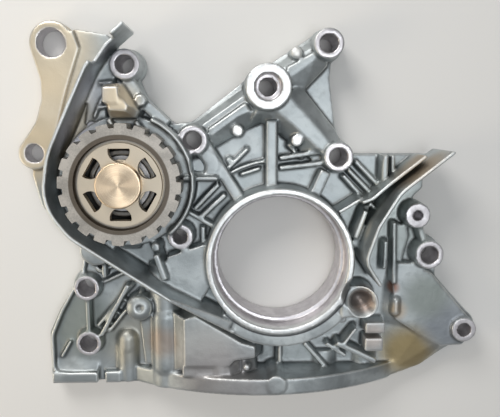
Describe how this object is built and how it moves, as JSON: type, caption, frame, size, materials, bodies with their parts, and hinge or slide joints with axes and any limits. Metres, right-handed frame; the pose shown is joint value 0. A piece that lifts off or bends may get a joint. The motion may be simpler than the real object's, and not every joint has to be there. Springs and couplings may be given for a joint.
{
  "type": "engine oil pump",
  "caption": "Belt-driven engine oil pump in a die-cast front case with a crank seal bore, belt guard wall, pulley, rotor pair, relief valve and oil pan flange.",
  "frame": {"origin": "centre of the crankshaft bore on the rear mating face", "axes": "+Z forward out of the engine along the crankshaft, +Y up the engine, +X to the right when the front is looked at"},
  "size_m": [0.2453, 0.1922, 0.042],
  "materials": {
    "casting": "satin die-cast, machined on its faces",
    "cover_steel": "ground",
    "fastener_steel": "zinc-grey",
    "sintered_rotor": "sintered and ground",
    "turned_steel": "turned, bright",
    "bearing_bronze": "plain bronze",
    "seal_steel": "pressed sheet",
    "seal_rubber": "moulded",
    "spring_steel": "drawn wire",
    "sintered_pulley": "sintered, matte"
  },
  "bodies": {
    "housing": {"pump_housing": "casting", "pump_cover": "cover_steel", "cover_screws": "fastener_steel", "cover_pins": "fastener_steel", "cover_bush": "bearing_bronze", "front_bush": "bearing_bronze", "shaft_seal_case": "seal_steel", "shaft_seal_lip": "seal_rubber", "seal_spring": "spring_steel", "relief_spring": "spring_steel", "spring_retainer": "turned_steel", "retainer_ring": "spring_steel", "outlet_ring": "seal_rubber"},
    "pump_drive": {"belt_pulley": "sintered_pulley", "drive_shaft": "turned_steel", "pulley_key": "fastener_steel", "rotor_key": "fastener_steel", "drive_rotor": "sintered_rotor"},
    "driven_rotor": {"driven_rotor": "sintered_rotor"},
    "relief_piston": {"relief_piston": "turned_steel"}
  },
  "joints": [
    {"name": "pulley_spin", "type": "hinge", "parent": "housing", "child": "pump_drive", "pos_m": [-0.079, 0.041, 0.03], "axis": [0, 0, 1], "continuous": true},
    {"name": "driven_rotor_spin", "type": "hinge", "parent": "housing", "child": "driven_rotor", "pos_m": [-0.079, 0.0384, 0.01], "axis": [0, 0, 1], "continuous": true},
    {"name": "relief_slide", "type": "slide", "parent": "housing", "child": "relief_piston", "axis": [0, -1, 0], "range_m": [0, 0.006], "stiffness_N_per_m": 3500, "springref_m": -0.01, "deforming": ["relief_spring"]}
  ],
  "couplings": [
    {"joint": "driven_rotor_spin", "follows": "pulley_spin", "ratio": 0.83333}
  ]
}
